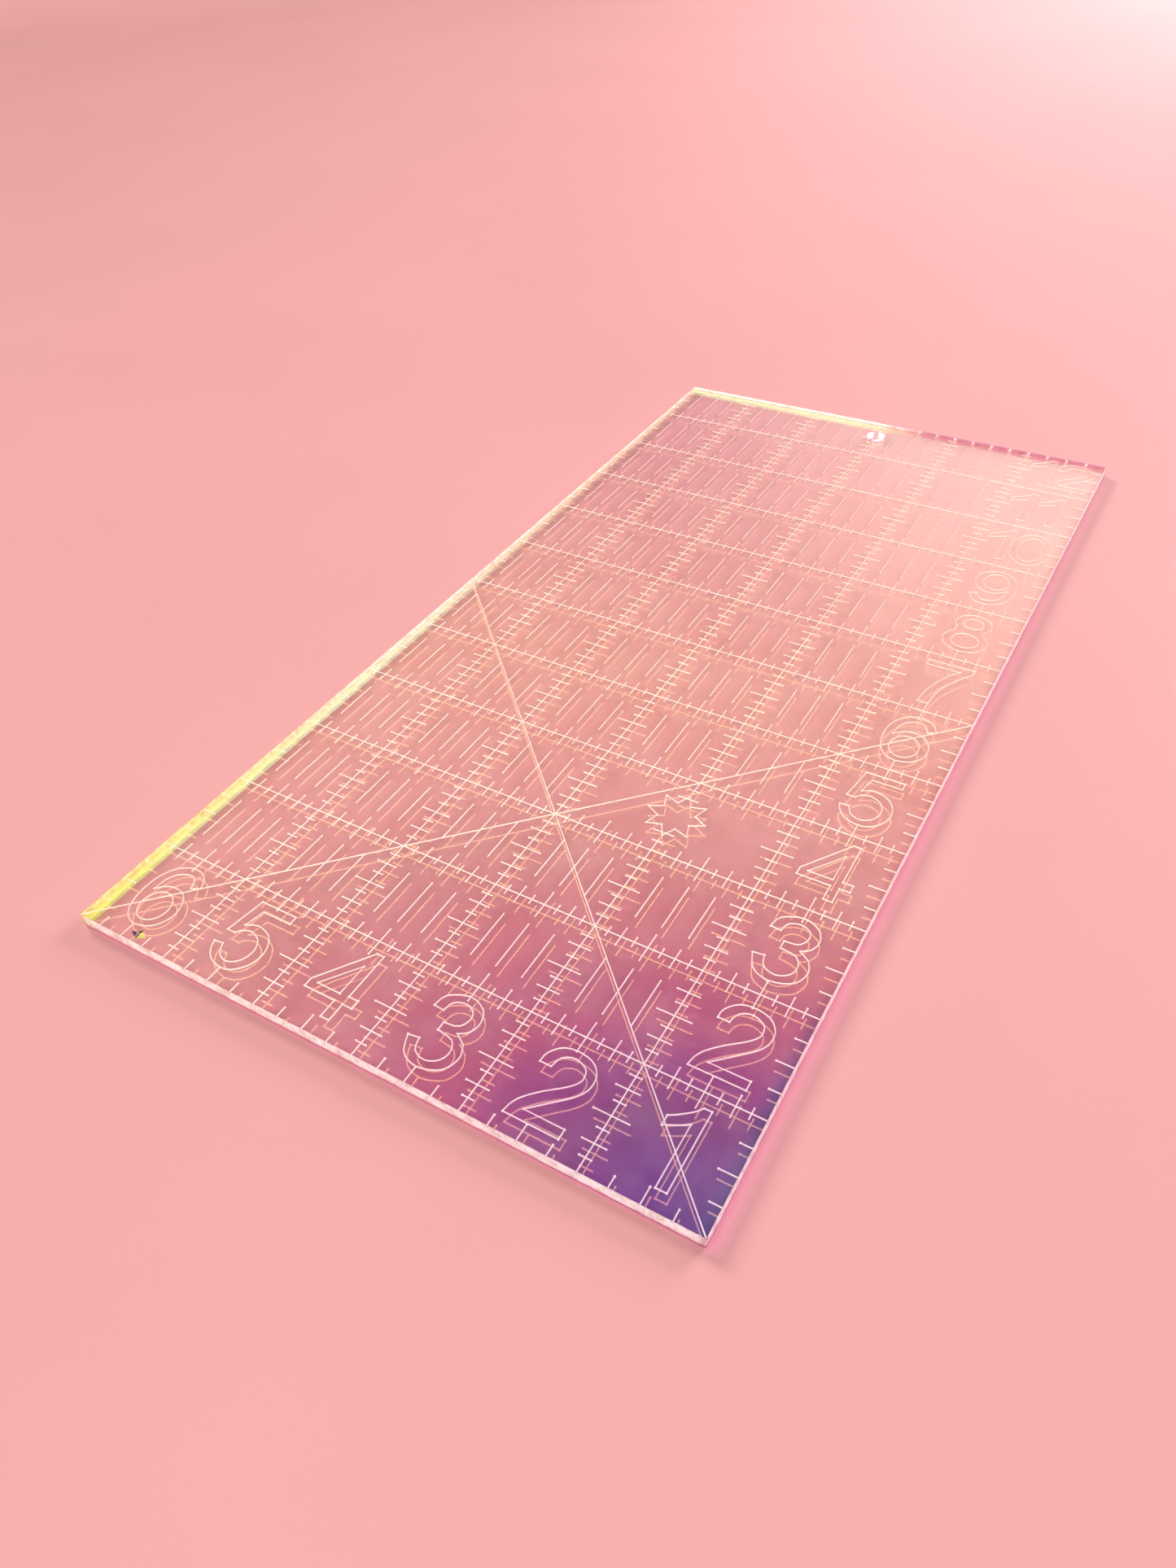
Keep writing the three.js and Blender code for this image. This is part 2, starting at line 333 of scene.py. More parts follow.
def noise(nt, vec, scale, detail=3, rough=0.55, stretch=None):
    if stretch is not None:
        mp = node(nt, "ShaderNodeMapping")
        mp.inputs["Scale"].default_value = stretch
        nt.links.new(vec, mp.inputs["Vector"])
        vec = mp.outputs[0]
    n = node(nt, "ShaderNodeTexNoise")
    n.inputs["Scale"].default_value = scale
    n.inputs["Detail"].default_value = detail
    n.inputs["Roughness"].default_value = rough
    nt.links.new(vec, n.inputs["Vector"])
    return n.outputs["Fac"]


def remap(nt, v, a, b, c, d):
    n = node(nt, "ShaderNodeMapRange")
    for i, x in enumerate((a, b, c, d)):
        n.inputs[i + 1].default_value = x
    nt.links.new(v, n.inputs[0])
    return n.outputs[0]


def lin(r, g, b):
    """Linear colour of an 8-bit sRGB one."""
    return tuple(((v / 255) / 12.92 if v / 255 <= 0.04045 else ((v / 255 + 0.055) / 1.055) ** 2.4) for v in (r, g, b))


def polished_acrylic():
    m, nt, out = nodes_of("clear_acrylic_polished")
    vec, x, y, z = object_xyz(nt)
    p = node(nt, "ShaderNodeBsdfPrincipled")
    p.inputs["Base Color"].default_value = (0.985, 0.99, 0.99, 1)
    p.inputs["Transmission Weight"].default_value = 1.0
    p.inputs["IOR"].default_value = 1.49
    smudge = noise(nt, vec, 22, 4, 0.6)
    fine = noise(nt, vec, 2200, 2, 0.5, (1.0, 0.06, 1.0))
    r = maths(nt, "ADD", remap(nt, smudge, 0.45, 0.75, 0.0, 0.018), remap(nt, fine, 0.62, 0.8, 0.0, 0.02))
    nt.links.new(r, p.inputs["Roughness"])
    clear = node(nt, "ShaderNodeBsdfTransparent")
    clear.inputs["Color"].default_value = (0.97, 0.97, 0.97, 1)
    lp = node(nt, "ShaderNodeLightPath")
    either = maths(nt, "MAXIMUM", lp.outputs["Is Shadow Ray"], lp.outputs["Is Diffuse Ray"])
    mix = node(nt, "ShaderNodeMixShader")
    nt.links.new(either, mix.inputs[0])
    nt.links.new(p.outputs[0], mix.inputs[1])
    nt.links.new(clear.outputs[0], mix.inputs[2])
    nt.links.new(mix.outputs[0], out.inputs["Surface"])
    return m


def film_distance(nt, x, y):
    """Inches from the near right corner, the short side counted less."""
    dx = maths(nt, "MULTIPLY", maths(nt, "SUBTRACT", W / 2 * MM, x), 0.739 / (INCH * MM))
    dy = maths(nt, "MULTIPLY", maths(nt, "ADD", y, L / 2 * MM), 1.0 / (INCH * MM))
    return maths(nt, "SQRT", maths(nt, "ADD", maths(nt, "MULTIPLY", dx, dx), maths(nt, "MULTIPLY", dy, dy)))


def frosted_cut(name, through=0.5, streaks=False):
    """Laser-frosted acrylic: white scatter, half of it let through, speckled."""
    m, nt, out = nodes_of(name)
    vec, x, y, z = object_xyz(nt)
    grain = noise(nt, vec, 5200, 3, 0.7)
    patch = noise(nt, vec, 260, 3, 0.6)
    if streaks:
        lines = noise(nt, vec, 1.0, 4, 0.75, (620, 620, 420))
        k = maths(nt, "ADD", maths(nt, "MULTIPLY", grain, 0.2), maths(nt, "MULTIPLY", lines, 0.8))
        white = ramp(nt, k, [(0.38, (0.74, 0.58, 0.57)), (0.46, (0.90, 0.80, 0.78)), (0.55, (1.0, 1.0, 0.98))])
        # painted light: the film's pink glow painted on the lower part of the walls, the left wall excepted
        low_glow = remap(nt, z, 0.00016, 0.00115, 0.0, 1.0)
        low_glow = maths(nt, "MAXIMUM", low_glow, remap(nt, x, -W / 2 * MM + 0.0012, -W / 2 * MM + 0.0006, 0.0, 1.0))
        tint = ramp(nt, maths(nt, "ADD", low_glow, maths(nt, "MULTIPLY", maths(nt, "SUBTRACT", grain, 0.5), 0.5)),
                    [(0.0, (1.0, 0.48, 0.62)), (0.30, (1.0, 0.62, 0.70)), (0.75, (1, 0.97, 0.96)), (1.0, (1, 1, 1))])
        mul = node(nt, "ShaderNodeMix", data_type="RGBA", blend_type="MULTIPLY")
        mul.inputs[0].default_value = 1.0
        nt.links.new(white, mul.inputs[6])
        nt.links.new(tint, mul.inputs[7])
        colour = mul.outputs[2]

        def tinted(colour, weight, tint):
            n = node(nt, "ShaderNodeMix", data_type="RGBA", blend_type="MULTIPLY")
            nt.links.new(weight, n.inputs[0])
            nt.links.new(colour, n.inputs[6])
            n.inputs[7].default_value = (*tint, 1)
            return n.outputs[2]

        # painted light: each side is tinted with the film's glow in its own colour, yellow green at the near left,
        # the near side darker and pinker, with magenta dashes along the right part of the far edge
        left = remap(nt, x, -W / 2 * MM + 0.0012, -W / 2 * MM + 0.0006, 0.0, 1.0)
        near = remap(nt, y, -L / 2 * MM + 0.0012, -L / 2 * MM + 0.0006, 0.0, 1.0)
        far = remap(nt, y, L / 2 * MM - 0.0012, L / 2 * MM - 0.0006, 0.0, 1.0)
        half = remap(nt, x, -0.004, 0.016, 0.0, 1.0)
        step = maths(nt, "ABSOLUTE", maths(nt, "SUBTRACT", maths(nt, "FRACT", maths(nt, "MULTIPLY", x, 1 / 0.00635)), 0.5))
        dash = remap(nt, step, 0.47, 0.40, 0.40, 1.0)
        right = remap(nt, x, W / 2 * MM - 0.0012, W / 2 * MM - 0.0006, 0.0, 1.0)
        colour = tinted(colour, left, (1.0, 0.93, 0.82))
        colour = tinted(colour, maths(nt, "MULTIPLY", left, remap(nt, y, -0.03, -0.12, 0.0, 1.0)), (0.90, 0.90, 0.42))
        colour = tinted(colour, right, (0.90, 0.70, 0.76))
        colour = tinted(colour, near, (0.84, 0.71, 0.695))
        colour = tinted(colour, far, (1.0, 0.97, 0.80))
        colour = tinted(colour, maths(nt, "MULTIPLY", maths(nt, "MULTIPLY", far, half), dash), (0.52, 0.17, 0.31))
        # painted shade: a darker pink seam down the hole's wall, leaving two bright sides
        hx = maths(nt, "SUBTRACT", x, px(HOLE[0]) * MM)
        hy = maths(nt, "SUBTRACT", y, py(HOLE[1]) * MM)
        round_hole = maths(nt, "SQRT", maths(nt, "ADD", maths(nt, "MULTIPLY", hx, hx), maths(nt, "MULTIPLY", hy, hy)))
        seam = maths(nt, "MULTIPLY", remap(nt, round_hole, 0.0042, 0.0034, 0.0, 1.0),
                     remap(nt, maths(nt, "ABSOLUTE", maths(nt, "ADD", hx, 0.0009)), 0.0011, 0.0006, 0.0, 1.0))
        colour = tinted(colour, seam, (0.80, 0.42, 0.42))
    else:
        k = maths(nt, "ADD", maths(nt, "MULTIPLY", grain, 0.55), maths(nt, "MULTIPLY", patch, 0.45))
        frost_tone = ramp(nt, k, [(0.36, (0.78, 0.74, 0.76)), (0.52, (0.88, 0.86, 0.87)), (0.62, (0.97, 0.96, 0.96))])
        # the cut lines turn darker and pinker towards the far end
        far_fade = node(nt, "ShaderNodeMix", data_type="RGBA", blend_type="MULTIPLY")
        nt.links.new(remap(nt, y, -0.09, 0.12, 0.0, 1.0), far_fade.inputs[0])
        nt.links.new(frost_tone, far_fade.inputs[6])
        far_fade.inputs[7].default_value = (0.76, 0.55, 0.56, 1)
        # painted light: the lines turn pinker towards the near left, the film's pink light painted on
        pink = node(nt, "ShaderNodeMix", data_type="RGBA", blend_type="MULTIPLY")
        nt.links.new(remap(nt, maths(nt, "ADD", x, maths(nt, "MULTIPLY", y, 0.35)), -0.085, -0.12, 0.0, 0.75), pink.inputs[0])
        nt.links.new(far_fade.outputs[2], pink.inputs[6])
        pink.inputs[7].default_value = (0.92, 0.70, 0.73, 1)
        colour = pink.outputs[2]
    d = node(nt, "ShaderNodeBsdfDiffuse")
    t = node(nt, "ShaderNodeBsdfTranslucent")
    for n in (d, t):
        nt.links.new(colour, n.inputs["Color"])
    if not streaks:
        # painted light: the light that gets through takes the tint of the film's reflection of the lines, rosy at the
        # near right, yellow elsewhere
        film_reflection_tint = ramp(nt, maths(nt, "MULTIPLY", film_distance(nt, x, y), 1 / 6),
                    [(0.0, (1.0, 0.70, 0.72)), (0.25, (1.0, 0.76, 0.70)), (0.5, (1.0, 0.92, 0.74)), (0.8, (0.94, 0.86, 0.68))])
        nt.links.new(film_reflection_tint, t.inputs["Color"])
    mix = node(nt, "ShaderNodeMixShader")
    mix.inputs[0].default_value = through
    nt.links.new(d.outputs[0], mix.inputs[1])
    nt.links.new(t.outputs[0], mix.inputs[2])
    bump = node(nt, "ShaderNodeBump")
    bump.inputs["Strength"].default_value = 0.5
    bump.inputs["Distance"].default_value = 0.00003
    nt.links.new(grain, bump.inputs["Height"])
    nt.links.new(bump.outputs[0], d.inputs["Normal"])
    nt.links.new(mix.outputs[0], out.inputs["Surface"])
    return m


def film_colour(nt, vec, x, y):
    d = film_distance(nt, x, y)
    wander = maths(nt, "MULTIPLY", maths(nt, "SUBTRACT", noise(nt, vec, 14, 2, 0.5), 0.5), 0.3)
    f = maths(nt, "MULTIPLY", maths(nt, "ADD", d, wander), 1 / 6)
    stops = [(0.00, (0.076, 0.003, 0.255)), (0.56, (0.170, 0.003, 0.255)), (0.85, (0.248, 0.041, 0.242)),
             (1.20, (0.321, 0.042, 0.248)), (1.65, (0.497, 0.094, 0.229)), (1.95, (0.517, 0.111, 0.229)),
             (2.35, (0.627, 0.176, 0.246)), (2.75, (0.645, 0.187, 0.244)), (3.30, (0.713, 0.262, 0.281)),
             (4.20, (0.817, 0.324, 0.328)), (6.00, (0.863, 0.372, 0.332))]
    base = ramp(nt, f, [(s / 6, col) for s, col in stops])
    # paler towards the far edge; cream towards the far right, a painted sheen of the back light
    far = remap(nt, y, -0.02, 0.155, 0.0, 1.0)
    right = remap(nt, maths(nt, "ADD", x, maths(nt, "MULTIPLY", y, 0.25)), -0.01, 0.105, 0.0, 1.0)
    pale = node(nt, "ShaderNodeMix", data_type="RGBA")
    nt.links.new(maths(nt, "MULTIPLY", far, 1.000, True), pale.inputs[0])
    nt.links.new(base, pale.inputs[6])
    pale.inputs[7].default_value = (*(0.800, 0.291, 0.388), 1)
    cream = node(nt, "ShaderNodeMix", data_type="RGBA")
    nt.links.new(maths(nt, "MULTIPLY", maths(nt, "MULTIPLY", maths(nt, "POWER", far, 0.7), right), 0.464, True), cream.inputs[0])
    nt.links.new(pale.outputs[2], cream.inputs[6])
    cream.inputs[7].default_value = (*(0.800, 0.381, 0.527), 1)
    # painted light: the bright yellow green rim on the left and the cream along the far edge, the glow of the lit cut
    # edges painted onto the film
    streak = noise(nt, vec, 1.0, 3, 0.7, (2400, 130, 1))
    rim_x = remap(nt, x, -W / 2 * MM + 0.0029, -W / 2 * MM + 0.0025, 0.0, 1.0)
    rim_w = maths(nt, "MULTIPLY", maths(nt, "MULTIPLY", rim_x, remap(nt, streak, 0.36, 0.50, 0.70, 1.0)),
                  remap(nt, y, -0.05, 0.06, 1.0, 0.35))
    rim_c = ramp(nt, remap(nt, y, -L / 2 * MM, L / 2 * MM, 0.0, 1.0),
                 [(0.0, (0.90, 0.90, 0.22)), (0.12, (0.97, 0.97, 0.46)), (0.28, (0.98, 0.97, 0.72)),
                  (0.50, (0.98, 0.82, 0.68)), (1.0, (0.97, 0.60, 0.54))])
    rim = node(nt, "ShaderNodeMix", data_type="RGBA")
    nt.links.new(rim_w, rim.inputs[0])
    nt.links.new(cream.outputs[2], rim.inputs[6])
    nt.links.new(rim_c, rim.inputs[7])
    top_w = maths(nt, "MULTIPLY", remap(nt, y, L / 2 * MM - 0.0050, L / 2 * MM - 0.0032, 0.0, 1.0),
                  remap(nt, x, 0.014, -0.012, 0.0, 0.95))
    top = node(nt, "ShaderNodeMix", data_type="RGBA")
    nt.links.new(top_w, top.inputs[0])
    nt.links.new(rim.outputs[2], top.inputs[6])
    top.inputs[7].default_value = (0.98, 0.93, 0.66, 1)
    # painted light: a blue tinge along the near right rim
    blue_w = maths(nt, "MULTIPLY", remap(nt, x, W / 2 * MM - 0.0038, W / 2 * MM - 0.0010, 0.0, 0.55),
                   remap(nt, y, -0.085, -0.120, 0.0, 1.0))
    blue = node(nt, "ShaderNodeMix", data_type="RGBA")
    nt.links.new(blue_w, blue.inputs[0])
    nt.links.new(top.outputs[2], blue.inputs[6])
    blue.inputs[7].default_value = (0.05, 0.055, 0.29, 1)
    # a small lifted spot at the near left edge, half violet, half yellow
    cx = maths(nt, "MULTIPLY", maths(nt, "SUBTRACT", x, px(0.575) * MM), 1 / 0.0022)
    cy = maths(nt, "MULTIPLY", maths(nt, "SUBTRACT", y, py(0.115) * MM), 1 / 0.0013)
    reach = maths(nt, "ADD", maths(nt, "ADD", maths(nt, "ABSOLUTE", cx), maths(nt, "ABSOLUTE", cy)),
                  maths(nt, "MULTIPLY", noise(nt, vec, 1500, 2, 0.6), 0.9))
    lifted = remap(nt, reach, 1.42, 1.30, 0.0, 1.0)
    spot = node(nt, "ShaderNodeMix", data_type="RGBA")
    nt.links.new(remap(nt, cx, 0.02, 0.12, 0.0, 1.0), spot.inputs[0])
    spot.inputs[6].default_value = (0.10, 0.02, 0.09, 1)
    spot.inputs[7].default_value = (0.80, 0.72, 0.16, 1)
    chip = node(nt, "ShaderNodeMix", data_type="RGBA")
    nt.links.new(lifted, chip.inputs[0])
    nt.links.new(blue.outputs[2], chip.inputs[6])
    nt.links.new(spot.outputs[2], chip.inputs[7])
    return chip.outputs[2]


def iridescent():
    """The film: its colour, with painted light at its rims and far right, under a bright mirror with one orange
    yellow tint.
    """
    m, nt, out = nodes_of("iridescent_film")
    vec, x, y, z = object_xyz(nt)
    p = node(nt, "ShaderNodeBsdfPrincipled")
    nt.links.new(film_colour(nt, vec, x, y), p.inputs["Base Color"])
    p.inputs["Roughness"].default_value = 0.02
    p.inputs["IOR"].default_value = 3.0
    p.inputs["Specular IOR Level"].default_value = 1.0
    p.inputs["Specular Tint"].default_value = (1.0, 0.82, 0.32, 1)
    wave = node(nt, "ShaderNodeBump")
    wave.inputs["Strength"].default_value = 0.06
    wave.inputs["Distance"].default_value = 0.0004
    nt.links.new(noise(nt, vec, 60, 2, 0.5), wave.inputs["Height"])
    nt.links.new(wave.outputs[0], p.inputs["Normal"])
    nt.links.new(p.outputs[0], out.inputs["Surface"])
    return m


def adhesive():
    m, nt, out = nodes_of("optical_adhesive")
    vec, x, y, z = object_xyz(nt)
    clear = node(nt, "ShaderNodeBsdfTransparent")
    clear.inputs["Color"].default_value = (0.995, 0.985, 0.98, 1)
    haze = node(nt, "ShaderNodeBsdfDiffuse")
    nt.links.new(ramp(nt, noise(nt, vec, 900, 3, 0.6), [(0.4, (0.92, 0.80, 0.80)), (0.6, (1.0, 0.93, 0.92))]),
                 haze.inputs["Color"])
    mix = node(nt, "ShaderNodeMixShader")
    nt.links.new(remap(nt, noise(nt, vec, 45, 4, 0.65), 0.4, 0.75, 0.005, 0.03), mix.inputs[0])
    nt.links.new(clear.outputs[0], mix.inputs[1])
    nt.links.new(haze.outputs[0], mix.inputs[2])
    nt.links.new(mix.outputs[0], out.inputs["Surface"])
    return m


MAT_CLEAR = polished_acrylic()
MAT_CUT = frosted_cut("engraved_frost", 0.66)
MAT_SIDE = frosted_cut("laser_cut_side", 0.58, streaks=True)
MAT_FILM = iridescent()
MAT_ADHESIVE = adhesive()


# ------------------------------------------------------------------ the engraved sheet
def triangulate(faces):
    """Constrained triangulation of overlapping polygons, with the input polygons each triangle lies in."""
    verts, idx = [], []
    for p in faces:
        idx.append(list(range(len(verts), len(verts) + len(p))))
        verts += [Vector(v) for v in p]
    vo, eo, fo, ov, oe, of = delaunay_2d_cdt(verts, [], idx, 1, 1e-5, True)
    return vo, fo, of


def outward(v, grow_sign=1.0):
    """Unit outward direction of the plate's or the hole's wall at a boundary point, mm."""
    hx, hy = px(HOLE[0]), py(HOLE[1])
    if (v.x - hx) ** 2 + (v.y - hy) ** 2 < (HOLE[2] + 1) ** 2:
        return Vector((hx - v.x, hy - v.y)).normalized()
    a, b = W / 2 - CORNER, L / 2 - CORNER
    cx, cy = max(-a, min(a, v.x)), max(-b, min(b, v.y))
    d = Vector((v.x - cx, v.y - cy))
    if abs(v.x) <= a + 1e-4:
        return Vector((0, 1 if v.y > 0 else -1))
    if abs(v.y) <= b + 1e-4:
        return Vector((1 if v.x > 0 else -1, 0))
    return d.normalized()


def engraved_sheet():
    hole = hole_ring(CHAMFER)
    vo, fo, of = triangulate([outline(CHAMFER), hole] + polys)
    top, cut = [], []
    for f, src in zip(fo, of):
        if 0 not in src or 1 in src:
            continue
        (cut if any(s > 1 for s in src) else top).append(f)
    bm = bmesh.new()
    high, low = {}, {}

    def v_at(store, i, z):
        if i not in store:
            store[i] = bm.verts.new((vo[i].x, vo[i].y, z))
        return store[i]

    edges = {}
    for f in top:
        face = bm.faces.new([v_at(high, i, Z_TOP) for i in f])
        face.material_index = 0
        for a, b in zip(f, f[1:] + f[:1]):
            edges[(a, b)] = True
    for f in cut:
        face = bm.faces.new([v_at(low, i, Z_TOP - LINE_D) for i in f])
        face.material_index = 1
    for f in cut:
        for a, b in zip(f, f[1:] + f[:1]):
            if (b, a) in edges:     # the plain face lies on the other side: a wall
                face = bm.faces.new([low[b], low[a], high[a], high[b]])
                face.material_index = 1
    bm.normal_update()
    # sides: a softened top edge, the cut wall, a softened bottom edge
    rim = [e for e in bm.edges if len(e.link_faces) == 1]

    def run(rim, place, mat):
        ret = bmesh.ops.extrude_edge_only(bm, edges=rim)["geom"]
        new_v = [g for g in ret if isinstance(g, bmesh.types.BMVert)]
        new_f = [g for g in ret if isinstance(g, bmesh.types.BMFace)]
        for v in new_v:
            place(v)
        for f in new_f:
            f.material_index = mat
        return [e for e in ret if isinstance(e, bmesh.types.BMEdge) and len(e.link_faces) == 1]

    def first(v):
        o = outward(v.co)
        v.co.x += o.x * CHAMFER
        v.co.y += o.y * CHAMFER
        v.co.z -= CHAMFER

    rim = run(rim, first, 2)

    def second(v):
        v.co.z = Z_BOTTOM + CHAMFER * 0.6

    rim = run(rim, second, 2)
    rv = list({v for e in rim for v in e.verts})
    bmesh.ops.remove_doubles(bm, verts=rv, dist=1e-4)
    rim = [e for e in bm.edges if len(e.link_faces) == 1]

    def third(v):
        o = outward(v.co)
        v.co.x -= o.x * CHAMFER * 0.6
        v.co.y -= o.y * CHAMFER * 0.6
        v.co.z = Z_BOTTOM

    rim = run(rim, third, 2)
    # the underside
    loops, todo = [], set(rim)
    while todo:
        e = todo.pop()
        start, at = e.verts[0], e.verts[1]
        loop = [start]
        while at is not start:
            loop.append(at)
            e = next(k for k in at.link_edges if k in todo)
            todo.discard(e)
            at = e.other_vert(at)
        loops.append(loop)
    loops.sort(key=len, reverse=True)
    flat = [[v.co.xy.copy() for v in loop] for loop in loops]
    order = []
    for k, p in enumerate(flat):
        if sum(a.x * b.y - b.x * a.y for a, b in zip(p, p[1:] + p[:1])) < 0:
            loops[k].reverse()
            p.reverse()
        order += loops[k]
    coords = [c for p in flat for c in p]
    n0 = len(flat[0])
    vo2, eo, fo2, ov, oe, of2 = delaunay_2d_cdt(
        coords, [], [list(range(n0)), list(range(n0, len(coords)))], 1, 1e-6, True)
    for f, src in zip(fo2, of2):
        if src != [0]:
            continue
        vs = [order[ov[i][0]] for i in f]
        face = bm.faces.new(vs[::-1])
        face.material_index = 0
    bmesh.ops.recalc_face_normals(bm, faces=bm.faces)
    if sum(f.calc_area() for f in bm.faces if f.normal.z > 0.9 and f.material_index == 0) < 1000:
        bmesh.ops.reverse_faces(bm, faces=bm.faces)
    bmesh.ops.scale(bm, vec=(MM, MM, MM), verts=bm.verts)
    open_edges = sum(1 for e in bm.edges if len(e.link_faces) != 2)
    print("sheet:", len(bm.faces), "faces,", open_edges, "edges not shared by two faces")
    me = bpy.data.meshes.new("engraved_sheet")
    bm.to_mesh(me)
    bm.free()
    for mat in (MAT_CLEAR, MAT_CUT, MAT_SIDE):
        me.materials.append(mat)
    ob = bpy.data.objects.new("engraved_sheet", me)
    bpy.context.scene.collection.objects.link(ob)
    return ob


def thin_layer(name, z0, z1, inset, soft, mat, wavy=0.0):
    """A thin bonded layer with the sheet's outline and hole, its cut edge softened by soft."""
    def rings(extra):
        return outline(inset + extra), hole_ring(inset * 0.5 + extra)

    levels = [(z0, soft), (z0 + soft, 0.0), (z1 - soft, 0.0), (z1, soft)]
    bm = bmesh.new()
    grid = []
    for z, extra in levels:
        o, h = rings(extra)
        grid.append(([bm.verts.new((x, y, z)) for x, y in o], [bm.verts.new((x, y, z)) for x, y in h]))
    for (o0, h0), (o1, h1) in zip(grid, grid[1:]):
        for a, b, flip in ((o0, o1, False), (h0, h1, True)):
            n = len(a)
            for i in range(n):
                j = (i + 1) % n
                q = [a[i], a[j], b[j], b[i]]
                bm.faces.new(q[::-1] if flip else q)
    for (o, h), up in ((grid[-1], True), (grid[0], False)):
        vs = o + h
        coords = [v.co.xy.copy() for v in vs]
        vo, eo, fo, ov, oe, of = delaunay_2d_cdt(
            coords, [], [list(range(len(o))), list(range(len(o), len(vs)))], 1, 1e-6, True)
        for f, src in zip(fo, of):
            if src == [0]:
                t = [vs[ov[i][0]] for i in f]
                bm.faces.new(t if up else t[::-1])
    bmesh.ops.recalc_face_normals(bm, faces=bm.faces)
    bmesh.ops.scale(bm, vec=(MM, MM, MM), verts=bm.verts)
    print(name, sum(1 for e in bm.edges if len(e.link_faces) != 2), "edges not shared by two faces")
    me = bpy.data.meshes.new(name)
    bm.to_mesh(me)
    bm.free()
    me.materials.append(mat)
    ob = bpy.data.objects.new(name, me)
    bpy.context.scene.collection.objects.link(ob)
    return ob


sheet = engraved_sheet()
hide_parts("acrylic_sheet")
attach(sheet, "root")

glue = thin_layer("adhesive_bond", adh_lo[2] * 1000 + 0.006, adh_hi[2] * 1000 - 0.004, 0.09, 0.008, MAT_ADHESIVE)
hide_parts("adhesive_layer")
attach(glue, "root")

film = thin_layer("iridescent_layer", film_lo[2] * 1000, film_hi[2] * 1000, 0.0, 0.02, MAT_FILM)
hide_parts("iridescent_film")
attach(film, "root")


# ------------------------------------------------------------------ floor
def floor_material():
    m, nt, out = nodes_of("table_top")
    vec, x, y, z = object_xyz(nt)
    p = node(nt, "ShaderNodeBsdfPrincipled")
    n = noise(nt, vec, 9, 3, 0.5)
    plain = ramp(nt, n, [(0.35, (0.411, 0.189, 0.187)), (0.65, (0.422, 0.195, 0.192))])
    # pink light spilling out of the film's edges
    ax = maths(nt, "SUBTRACT", x, W / 2 * MM)
    ay = maths(nt, "SUBTRACT", maths(nt, "ABSOLUTE", y), L / 2 * MM)
    side = maths(nt, "MAXIMUM", ax, maths(nt, "MULTIPLY", maths(nt, "MAXIMUM", ay, -0.001), 4.5))
    side = maths(nt, "MAXIMUM", side, maths(nt, "SUBTRACT", -W / 2 * MM + 0.006, x))
    spill = remap(nt, side, 0.0055, 0.0, 0.0, 1.0)
    glow = node(nt, "ShaderNodeMix", data_type="RGBA")
    nt.links.new(maths(nt, "MULTIPLY", maths(nt, "POWER", spill, 1.6), remap(nt, y, -0.12, 0.14, 0.80, 0.30)), glow.inputs[0])
    nt.links.new(plain, glow.inputs[6])
    glow.inputs[7].default_value = (0.56, 0.195, 0.28, 1)
    nt.links.new(glow.outputs[2], p.inputs["Base Color"])
    # the far floor glows so it stays pale where the lamps no longer reach it
    reach = maths(nt, "SQRT", maths(nt, "ADD", maths(nt, "MULTIPLY", x, x), maths(nt, "MULTIPLY", y, y)))
    p.inputs["Emission Color"].default_value = (0.88, 0.41, 0.40, 1)
    nt.links.new(remap(nt, reach, 1.15, 3.2, 0.0, 0.95), p.inputs["Emission Strength"])
    p.inputs["Roughness"].default_value = 0.42
    p.inputs["Specular IOR Level"].default_value = 0.25
    b = node(nt, "ShaderNodeBump")
    b.inputs["Strength"].default_value = 0.05
    b.inputs["Distance"].default_value = 0.0002
    nt.links.new(noise(nt, vec, 1500, 2, 0.5), b.inputs["Height"])
    nt.links.new(b.outputs[0], p.inputs["Normal"])
    nt.links.new(p.outputs[0], out.inputs["Surface"])
    return m


me = bpy.data.meshes.new("floor")
s = 6.0
me.from_pydata([(-s, -s, -0.00002), (s, -s, -0.00002), (s, s, -0.00002), (-s, s, -0.00002)], [], [(0, 1, 2, 3)])
floor = bpy.data.objects.new("floor", me)
bpy.context.scene.collection.objects.link(floor)
me.materials.append(floor_material())

# ------------------------------------------------------------------ light
scene = bpy.context.scene
world = bpy.data.worlds.new("studio")
scene.world = world
world.use_nodes = True
wt = world.node_tree
wt.nodes.clear()
wout = wt.nodes.new("ShaderNodeOutputWorld")
bg = wt.nodes.new("ShaderNodeBackground")
tc = wt.nodes.new("ShaderNodeTexCoord")


def lobe(azimuth, elevation, wide, level):
    """A soft bright patch of studio wall. azimuth 0 is +Y, turning to +X."""
    a, e = math.radians(azimuth), math.radians(elevation)
    d = (math.sin(a) * math.cos(e), math.cos(a) * math.cos(e), math.sin(e))
    dot = wt.nodes.new("ShaderNodeVectorMath")
    dot.operation = "DOT_PRODUCT"
    wt.links.new(tc.outputs["Generated"], dot.inputs[0])
    dot.inputs[1].default_value = d
    mr = wt.nodes.new("ShaderNodeMapRange")
    mr.interpolation_type = "SMOOTHERSTEP"
    mr.inputs["From Min"].default_value = math.cos(math.radians(wide))
    mr.inputs["From Max"].default_value = 1.0
    mr.inputs["To Max"].default_value = level
    wt.links.new(dot.outputs["Value"], mr.inputs["Value"])
    return mr.outputs["Result"]


total = wt.nodes.new("ShaderNodeMath")
total.operation = "ADD"
wt.links.new(lobe(2, 12, 34, 0.75), total.inputs[0])
total.inputs[1].default_value = 0.045
wt.links.new(total.outputs[0], bg.inputs["Strength"])
bg.inputs["Color"].default_value = (1.0, 0.985, 0.98, 1)
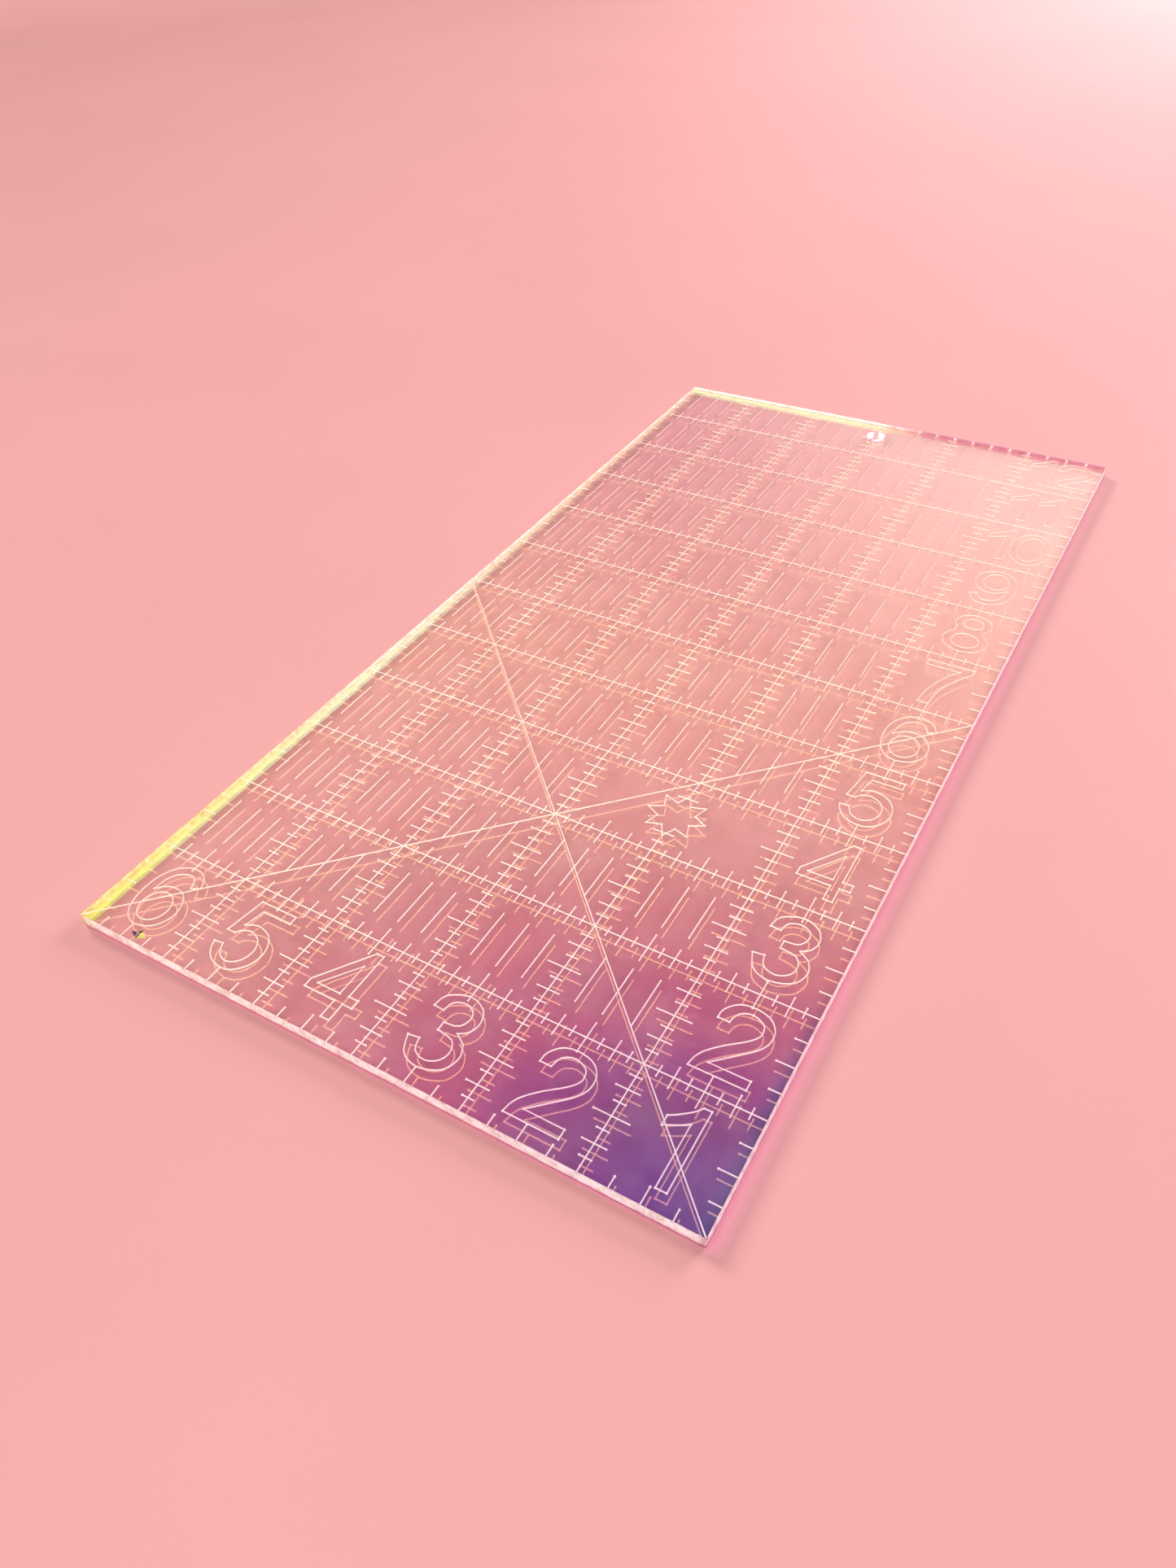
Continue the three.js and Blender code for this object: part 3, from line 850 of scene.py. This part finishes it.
# the backdrop itself is plain and pale
backdrop = wt.nodes.new("ShaderNodeBackground")
backdrop.inputs["Color"].default_value = (0.92, 0.62, 0.60, 1)
seen = wt.nodes.new("ShaderNodeLightPath")
pick = wt.nodes.new("ShaderNodeMixShader")
wt.links.new(seen.outputs["Is Camera Ray"], pick.inputs[0])
wt.links.new(bg.outputs[0], pick.inputs[1])
wt.links.new(backdrop.outputs[0], pick.inputs[2])
wt.links.new(pick.outputs[0], wout.inputs["Surface"])


def softbox(name, at, size, watts, aim=(0, 0, 0), colour=(1, 0.985, 0.97)):
    lamp = bpy.data.lights.new(name, "AREA")
    lamp.shape = "RECTANGLE"
    lamp.size, lamp.size_y = size
    lamp.energy = watts
    lamp.color = colour
    ob = bpy.data.objects.new(name, lamp)
    ob.location = at
    ob.rotation_euler = (Vector(aim) - Vector(at)).to_track_quat("-Z", "Y").to_euler()
    ob.visible_glossy = False
    ob.visible_transmission = False
    scene.collection.objects.link(ob)
    return ob


softbox("key_left", (-4.2, 1.7, 2.6), (1.6, 1.6), 385)
softbox("top_fill", (0.10, -0.45, 1.6), (1.6, 1.4), 41)
softbox("back_window", (0.42, 1.35, 0.55), (0.6, 0.6), 36, aim=(0.0, 0.85, 0), colour=(0.93, 0.98, 1.0))

# ------------------------------------------------------------------ camera
cam = bpy.data.cameras.new("camera")
cam.sensor_fit = "AUTO"
cam.sensor_width = 36.0
cam.lens = 26.369
cam.clip_start, cam.clip_end = 0.01, 50
cam.dof.use_dof = False
cam_ob = bpy.data.objects.new("camera", cam)
cam_ob.matrix_world = Matrix((
    (0.86388242, -0.31281321, 0.39478483, 0.1111476),
    (0.50210073, 0.59708991, -0.62560251, -0.2372083),
    (-0.04002531, 0.73866876, 0.67287921, 0.1898580),
    (0, 0, 0, 1)))
scene.collection.objects.link(cam_ob)
scene.camera = cam_ob

scene.view_settings.view_transform = "Standard"
scene.view_settings.look = "None"
scene.view_settings.exposure = 0.0
scene.view_settings.gamma = 1.0
scene.cycles.use_denoising = True

def plain(box):
    return [[float(c) for c in corner] for corner in box]
